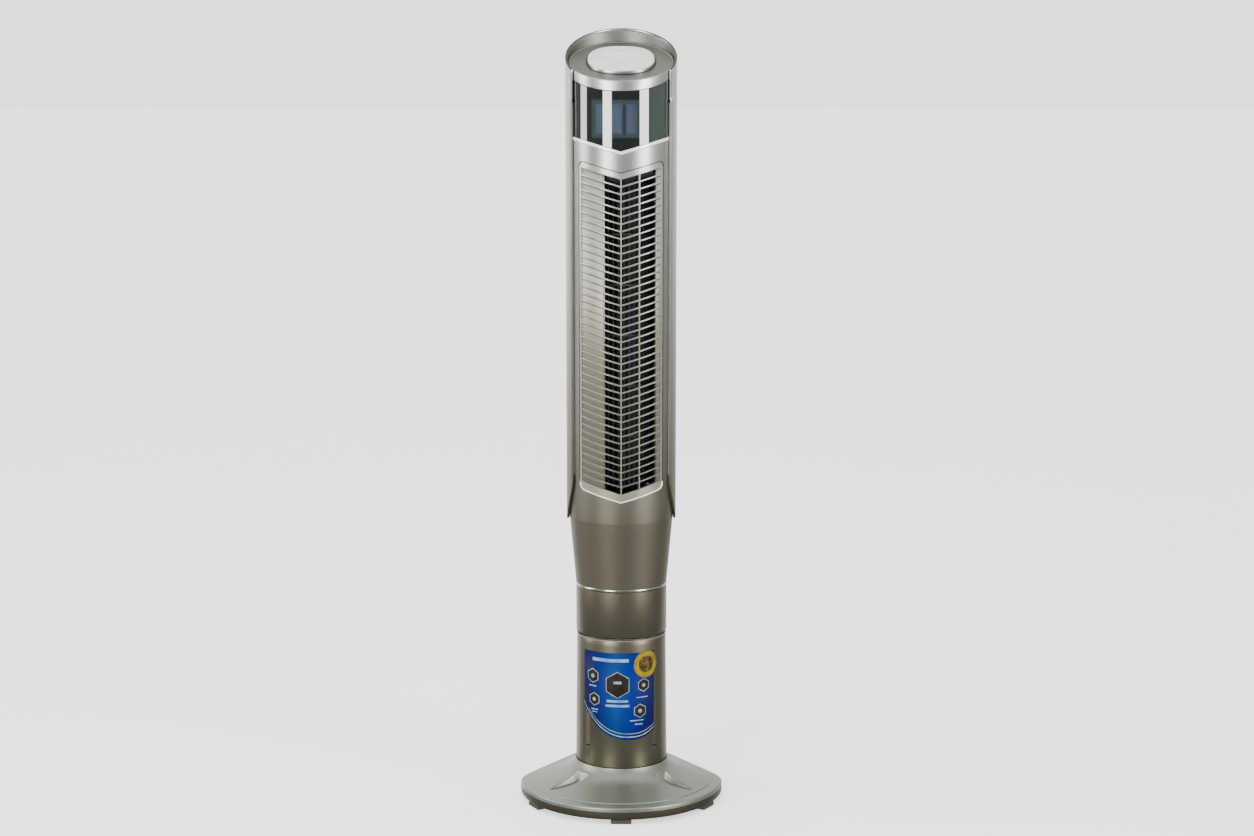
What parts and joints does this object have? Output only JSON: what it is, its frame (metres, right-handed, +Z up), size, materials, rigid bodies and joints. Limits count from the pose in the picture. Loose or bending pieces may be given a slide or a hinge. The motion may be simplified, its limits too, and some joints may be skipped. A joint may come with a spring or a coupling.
{
  "type": "tower fan",
  "caption": "Tall oscillating tower fan: weighted base, column, swinging cylindrical head with V-slatted outlet grille, smoked display window and slanted top controls.",
  "frame": {"origin": "on the floor, under the centre of the base", "axes": "+Z up along the column, -Y towards the user in front of the outlet grille, +X to the user's right"},
  "size_m": [0.308, 0.3127, 1.168],
  "materials": {
    "silver_paint": "satin silver metallic paint on moulded plastic",
    "titanium_paint": "satin warm titanium metallic paint on moulded plastic",
    "chrome": "bright chrome plating",
    "smoked_window": "dark smoked gloss",
    "light_pad": "light silver satin",
    "panel_grey": "warm grey metallic satin",
    "black_plastic": "black moulded",
    "natural_plastic": "natural acetal",
    "steel": "plain zinc-plated steel",
    "cast_weight": "rough cast",
    "rubber": "matt rubber",
    "circuit_board": "green solder mask",
    "lcd_glass": "unlit liquid crystal display"
  },
  "bodies": {
    "base": {"base_plate": "titanium_paint", "ballast_ring": "cast_weight", "base_cover": "silver_paint", "column_socket": "black_plastic", "column_screw_1": "steel", "column_screw_2": "steel", "column_screw_3": "steel", "cord_gland": "rubber", "column_tube": "titanium_paint", "column_cap": "black_plastic", "sector_gear": "natural_plastic", "pivot_post": "steel", "retaining_ring": "steel", "glide_ring": "natural_plastic", "foot_1": "rubber", "foot_2": "rubber", "foot_3": "rubber", "foot_4": "rubber", "foot_5": "rubber", "foot_6": "rubber"},
    "fan_head": {"chrome_ring": "chrome", "chrome_v_trim": "chrome", "control_board": "circuit_board", "control_pad": "light_pad", "display_board": "circuit_board", "display_module": "lcd_glass", "display_window": "smoked_window", "fan_motor": "steel", "front_shell": "silver_paint", "grille_insert": "silver_paint", "handle_cup": "black_plastic", "head_deck": "black_plastic", "intake_grille": "silver_paint", "main_board": "circuit_board", "motor_bracket": "steel", "neck_sleeve": "titanium_paint", "oscillation_motor": "steel", "pivot_bush": "natural_plastic", "rear_screw_1": "steel", "rear_screw_2": "steel", "rear_screw_3": "steel", "rear_screw_4": "steel", "rear_shell": "silver_paint", "run_capacitor": "black_plastic", "scroll_wall": "black_plastic", "tongue_wall": "black_plastic", "top_panel": "panel_grey", "top_ring": "silver_paint", "turntable": "black_plastic", "upper_bearing": "rubber", "upper_bracket": "steel"},
    "pinion": {"oscillation_pinion": "natural_plastic", "oscillation_shaft": "steel"},
    "impeller_rotor": {"impeller": "black_plastic", "rotor_shaft": "steel"},
    "button_power": {"button_power": "light_pad"},
    "button_speed": {"button_speed": "light_pad"},
    "button_mode": {"button_mode": "light_pad"},
    "button_timer": {"button_timer": "light_pad"},
    "button_swing": {"button_swing": "light_pad"}
  },
  "joints": [
    {"name": "swing", "type": "hinge", "parent": "base", "child": "fan_head", "pos_m": [0, 0, 0.261], "axis": [0, 0, 1], "range_deg": [-40, 40]},
    {"name": "pinion_spin", "type": "hinge", "parent": "fan_head", "child": "pinion", "pos_m": [0, 0.036, 0.25], "axis": [0, 0, 1], "range_deg": [-162, 162]},
    {"name": "impeller_spin", "type": "hinge", "parent": "fan_head", "child": "impeller_rotor", "pos_m": [0, 0.016, 0.5], "axis": [0, 0, 1], "continuous": true},
    {"name": "button_power_press", "type": "slide", "parent": "fan_head", "child": "button_power", "axis": [0, -0.3428, 0.9394], "range_m": [-0.0008, 0], "stiffness_N_per_m": 300},
    {"name": "button_speed_press", "type": "slide", "parent": "fan_head", "child": "button_speed", "axis": [0, -0.3428, 0.9394], "range_m": [-0.0008, 0], "stiffness_N_per_m": 300},
    {"name": "button_mode_press", "type": "slide", "parent": "fan_head", "child": "button_mode", "axis": [0, -0.3428, 0.9394], "range_m": [-0.0008, 0], "stiffness_N_per_m": 300},
    {"name": "button_timer_press", "type": "slide", "parent": "fan_head", "child": "button_timer", "axis": [0, -0.3428, 0.9394], "range_m": [-0.0008, 0], "stiffness_N_per_m": 300},
    {"name": "button_swing_press", "type": "slide", "parent": "fan_head", "child": "button_swing", "axis": [0, -0.3428, 0.9394], "range_m": [-0.0008, 0], "stiffness_N_per_m": 300}
  ],
  "couplings": [
    {"joint": "pinion_spin", "follows": "swing", "ratio": -4}
  ]
}
